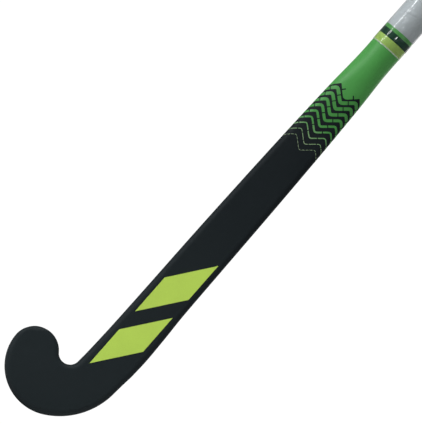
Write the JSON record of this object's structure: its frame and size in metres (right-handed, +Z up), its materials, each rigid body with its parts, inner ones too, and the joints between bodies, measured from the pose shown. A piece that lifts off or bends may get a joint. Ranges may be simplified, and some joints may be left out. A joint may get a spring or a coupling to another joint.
{
  "type": "field hockey stick",
  "caption": "Moulded hollow stick with a flat-faced hooked head, a gentle bow and a long taped round handle.",
  "frame": {"origin": "on the handle's axis, at the middle of the clear film over the grip", "axes": "+Z up the handle to the butt, flat playing face towards -Y, hook and toe towards -X"},
  "size_m": [0.1097, 0.0743, 0.9249],
  "materials": {
    "carbon": "matte",
    "tube": "satin",
    "core_foam": "matte",
    "aramid": "matte",
    "damper": "matte",
    "shaft_foam": "matte",
    "plug": "matte",
    "cap": "satin",
    "base_tape": "matte",
    "grip": "satin",
    "finishing": "gloss",
    "lime": "gloss",
    "dark_green": "gloss",
    "green": "gloss",
    "face_lime": "matte",
    "film": "gloss"
  },
  "bodies": {
    "root": {"outer_shell": "carbon", "inner_tube_toe_side": "tube", "inner_tube_heel_side": "tube", "damper_plug_toe_side": "damper", "damper_plug_heel_side": "damper", "shaft_foam_toe_side": "shaft_foam", "shaft_foam_heel_side": "shaft_foam", "head_core": "core_foam", "head_face_insert": "aramid", "crook_insert": "aramid", "heel_insert": "aramid", "toe_insert": "aramid", "handle_plug": "plug", "end_cap": "cap", "base_tape": "base_tape", "grip_tape": "grip", "finishing_tape": "finishing", "lime_band": "lime", "dark_band": "dark_green", "clear_film": "film", "green_panel": "green", "green_waves": "green", "face_bars": "face_lime"}
  },
  "joints": []
}
